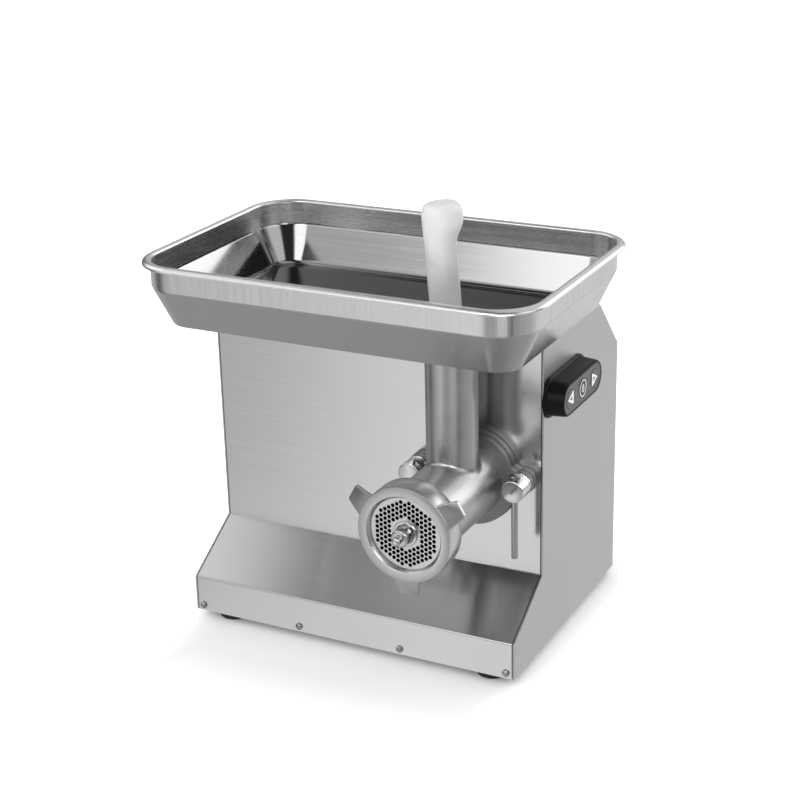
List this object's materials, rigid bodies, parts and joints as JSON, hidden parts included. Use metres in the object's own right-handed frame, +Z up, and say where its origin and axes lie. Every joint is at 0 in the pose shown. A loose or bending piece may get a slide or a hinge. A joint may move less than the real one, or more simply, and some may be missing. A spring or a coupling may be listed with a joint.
{
  "type": "electric meat grinder",
  "caption": "Bench meat grinder with a sheet-steel cabinet, feed tray, vertical feed tube, removable grinding head, pestle and side switch.",
  "frame": {"origin": "centre of the bounding box at the level of the feet", "axes": "+X to the right seen from the front, +Y from the front to the back, +Z up"},
  "size_m": [0.4538, 0.417, 0.5092],
  "materials": {
    "brushed_sheet": "brushed",
    "polished_sheet": "polished",
    "polished_steel": "polished",
    "satin_steel": "satin",
    "grey_paint": "satin",
    "black_plastic": "matte",
    "white_plastic": "satin",
    "rubber": "matte",
    "bronze": "satin",
    "winding": "satin"
  },
  "bodies": {
    "machine": {"wrap_panel": "brushed_sheet", "rear_panel": "brushed_sheet", "left_side_panel": "brushed_sheet", "right_side_panel": "brushed_sheet", "base_plate": "brushed_sheet", "front_left_foot": "rubber", "front_right_foot": "rubber", "rear_left_foot": "rubber", "rear_right_foot": "rubber", "apron_screw_1": "polished_steel", "apron_screw_2": "polished_steel", "apron_screw_3": "polished_steel", "apron_screw_4": "polished_steel", "mounting_flange": "satin_steel", "oil_seal": "rubber", "gearbox_housing": "grey_paint", "gearbox_cover": "grey_paint", "front_bearing": "polished_steel", "rear_bearing": "polished_steel", "motor_shell": "grey_paint", "stator_core": "winding", "motor_rear_bell": "grey_paint", "fan_cowl": "black_plastic", "motor_bracket": "brushed_sheet", "run_capacitor": "white_plastic", "switch_base": "black_plastic", "switch_housing": "black_plastic", "contact_block": "white_plastic", "cable_gland": "black_plastic"},
    "drive": {"drive_shaft": "polished_steel", "output_gear": "satin_steel"},
    "lay": {"lay_shaft": "satin_steel", "intermediate_gear": "bronze"},
    "rotor": {"rotor_shaft": "polished_steel", "rotor_core": "satin_steel", "cooling_fan": "black_plastic"},
    "head": {"grinding_head": "satin_steel", "worm_bush": "bronze", "plate_key_pin": "polished_steel"},
    "worm": {"worm": "polished_steel", "knife": "polished_steel"},
    "plate": {"mincing_plate": "polished_steel"},
    "ring": {"ring_nut": "satin_steel"},
    "left_clamp": {"left_knob": "polished_steel"},
    "right_clamp": {"right_knob": "polished_steel"},
    "left_tommy": {"left_bar": "polished_steel"},
    "right_tommy": {"right_bar": "polished_steel"},
    "tray": {"feed_tray": "polished_sheet"},
    "pestle": {"pestle": "white_plastic"},
    "start": {"start_button": "black_plastic"},
    "stop": {"stop_button": "black_plastic"},
    "reverse": {"reverse_button": "black_plastic"}
  },
  "joints": [
    {"name": "drive_spin", "type": "hinge", "parent": "machine", "child": "drive", "pos_m": [0.1118, 0.0035, 0.202], "axis": [0, 1, 0], "continuous": true},
    {"name": "lay_spin", "type": "hinge", "parent": "machine", "child": "lay", "pos_m": [0.0318, 0.0035, 0.202], "axis": [0, 1, 0], "continuous": true},
    {"name": "motor_spin", "type": "hinge", "parent": "machine", "child": "rotor", "pos_m": [-0.00795, 0.0535, 0.202], "axis": [0, 1, 0], "continuous": true},
    {"name": "head_pull", "type": "slide", "parent": "machine", "child": "head", "axis": [0, -1, 0], "range_m": [0, 0.1]},
    {"name": "worm_spin", "type": "hinge", "parent": "head", "child": "worm", "pos_m": [0.1118, -0.0965, 0.202], "axis": [0, 1, 0], "continuous": true},
    {"name": "plate_slide", "type": "slide", "parent": "head", "child": "plate", "axis": [0, -1, 0], "range_m": [0, 0.012]},
    {"name": "ring_turn", "type": "hinge", "parent": "plate", "child": "ring", "pos_m": [0.1118, -0.1765, 0.202], "axis": [0, -1, 0], "range_deg": [0, 1080]},
    {"name": "left_knob_turn", "type": "hinge", "parent": "head", "child": "left_clamp", "pos_m": [0.0528, -0.0465, 0.2055], "axis": [0, -1, 0], "range_deg": [-3, 70]},
    {"name": "right_knob_turn", "type": "hinge", "parent": "head", "child": "right_clamp", "pos_m": [0.1708, -0.0465, 0.2055], "axis": [0, -1, 0], "range_deg": [-35, 35]},
    {"name": "left_bar_slide", "type": "slide", "parent": "left_clamp", "child": "left_tommy", "axis": [0.6157, 0, 0.788], "range_m": [0, 0.03]},
    {"name": "right_bar_slide", "type": "slide", "parent": "right_clamp", "child": "right_tommy", "axis": [0, 0, 1], "range_m": [0, 0.03]},
    {"name": "tray_lift", "type": "slide", "parent": "head", "child": "tray", "axis": [0, 0, 1], "range_m": [0, 0.15]},
    {"name": "pestle_slide", "type": "slide", "parent": "tray", "child": "pestle", "axis": [-0.0621, -0.0321, 0.9976], "range_m": [0, 0.25]},
    {"name": "start_press", "type": "slide", "parent": "machine", "child": "start", "axis": [-1, 0, 0], "range_m": [0, 0.0025], "stiffness_N_per_m": 400},
    {"name": "stop_press", "type": "slide", "parent": "machine", "child": "stop", "axis": [-1, 0, 0], "range_m": [0, 0.0025], "stiffness_N_per_m": 400},
    {"name": "reverse_press", "type": "slide", "parent": "machine", "child": "reverse", "axis": [-1, 0, 0], "range_m": [0, 0.0025], "stiffness_N_per_m": 400}
  ],
  "couplings": [
    {"joint": "worm_spin", "follows": "drive_spin", "ratio": 1},
    {"joint": "lay_spin", "follows": "drive_spin", "ratio": -3},
    {"joint": "motor_spin", "follows": "drive_spin", "ratio": 9.2308},
    {"joint": "ring_turn", "follows": "plate_slide", "rad_per_m": 1570.8}
  ]
}
